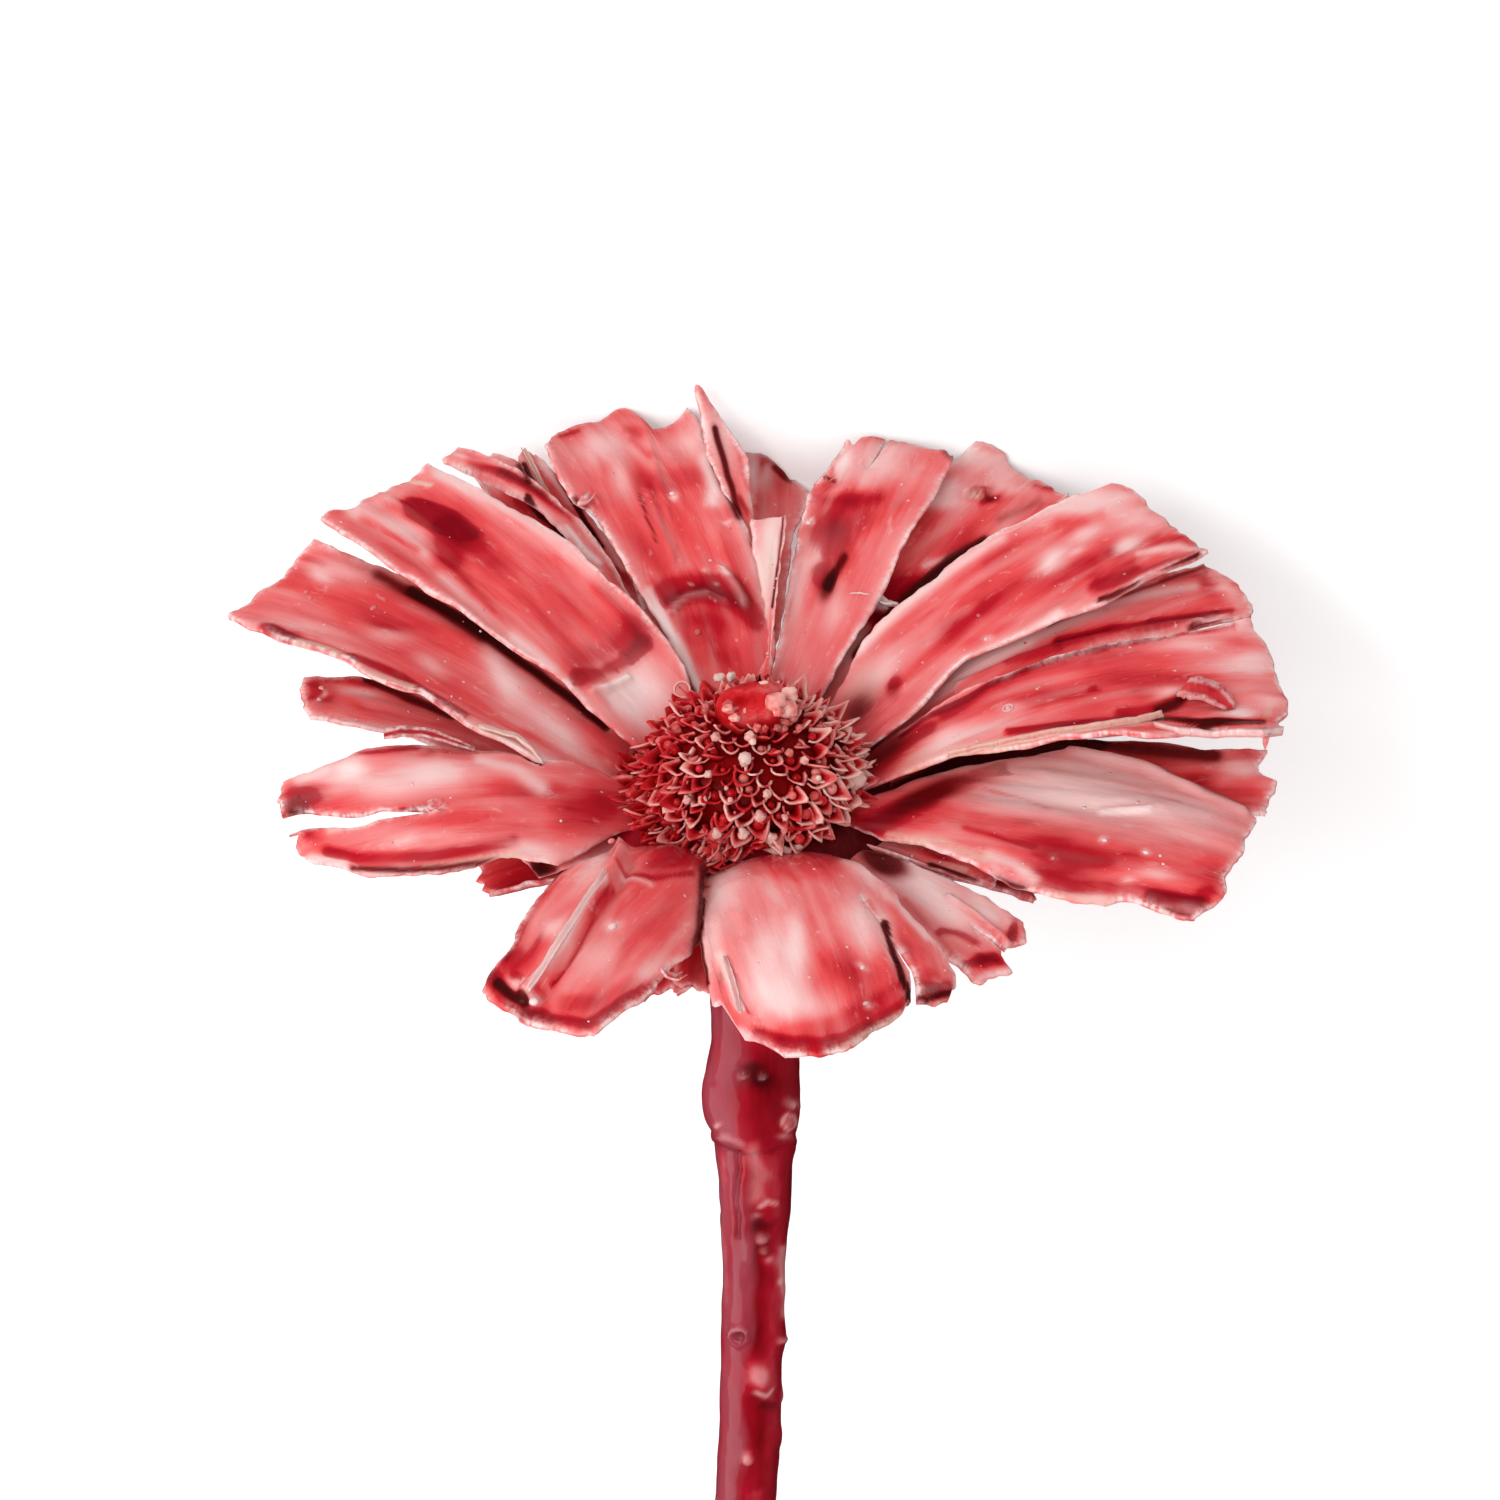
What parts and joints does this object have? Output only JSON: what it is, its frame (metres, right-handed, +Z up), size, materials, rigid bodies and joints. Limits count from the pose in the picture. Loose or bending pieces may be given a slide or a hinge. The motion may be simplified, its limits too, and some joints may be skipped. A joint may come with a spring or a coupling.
{
  "type": "waxed protea",
  "caption": "Dried protea cut flower dipped in red wax: a wide rosette of strap-shaped bracts round a domed seed head on a waxed stem, lying on its side.",
  "frame": {"origin": "centre of the flower's bounding box in plan, at the floor it lies on", "axes": "+Y towards the flower head, the stem runs to -Y, +X to the viewer's right in the picture, +Z up from the floor the flower lies on"},
  "size_m": [0.1026, 0.2812, 0.086],
  "materials": {
    "waxed_bract": "dried bract under a thin glossy coat of coral red wax, pale where the coat is thin",
    "waxed_outer_bract": "dried bract under a thicker coat of glossy deep red wax",
    "waxed_seed_head": "dark red glossy wax over small pointed scales with pale pink rims",
    "waxed_stem": "bumpy bark under glossy crimson wax with a mauve sheen"
  },
  "bodies": {
    "root": {"stem": "waxed_stem", "seed_head": "waxed_seed_head", "bract_upper_left_broad": "waxed_bract", "bract_left_long": "waxed_bract", "bract_left_narrow": "waxed_bract", "bract_left_sliver": "waxed_bract", "bract_left_split": "waxed_bract", "bract_lower_left_stub": "waxed_bract", "bract_front_folded": "waxed_bract", "bract_front_broad": "waxed_bract", "bract_front_right_short": "waxed_bract", "bract_right_sliver": "waxed_bract", "bract_right_lower_broad": "waxed_bract", "bract_right_rear_lobe": "waxed_bract", "bract_right_broad": "waxed_bract", "bract_right_slim": "waxed_bract", "bract_upper_right_broad": "waxed_bract", "bract_back_right": "waxed_bract", "bract_back_right_inner": "waxed_bract", "bract_back_pointed": "waxed_bract", "bract_back_pale_strap": "waxed_bract", "bract_back_ragged": "waxed_bract", "bract_back_broad": "waxed_bract", "bract_back_left_curled": "waxed_bract", "bract_back_left_channel": "waxed_bract", "bract_back_left_sliver": "waxed_bract", "bract_back_left_hidden": "waxed_bract", "outer_bract_1": "waxed_outer_bract", "outer_bract_2": "waxed_outer_bract", "outer_bract_3": "waxed_outer_bract", "outer_bract_4": "waxed_outer_bract", "outer_bract_5": "waxed_outer_bract", "outer_bract_6": "waxed_outer_bract", "outer_bract_7": "waxed_outer_bract", "outer_bract_8": "waxed_outer_bract", "outer_bract_9": "waxed_outer_bract", "outer_bract_10": "waxed_outer_bract", "collar_bract_1": "waxed_outer_bract", "collar_bract_2": "waxed_outer_bract", "collar_bract_3": "waxed_outer_bract", "collar_bract_4": "waxed_outer_bract", "collar_bract_5": "waxed_outer_bract", "collar_bract_6": "waxed_outer_bract", "collar_bract_7": "waxed_outer_bract", "collar_bract_8": "waxed_outer_bract", "collar_scale_1": "waxed_outer_bract", "collar_scale_2": "waxed_outer_bract", "collar_scale_3": "waxed_outer_bract", "collar_scale_4": "waxed_outer_bract", "collar_scale_5": "waxed_outer_bract", "collar_scale_6": "waxed_outer_bract"}
  },
  "joints": []
}
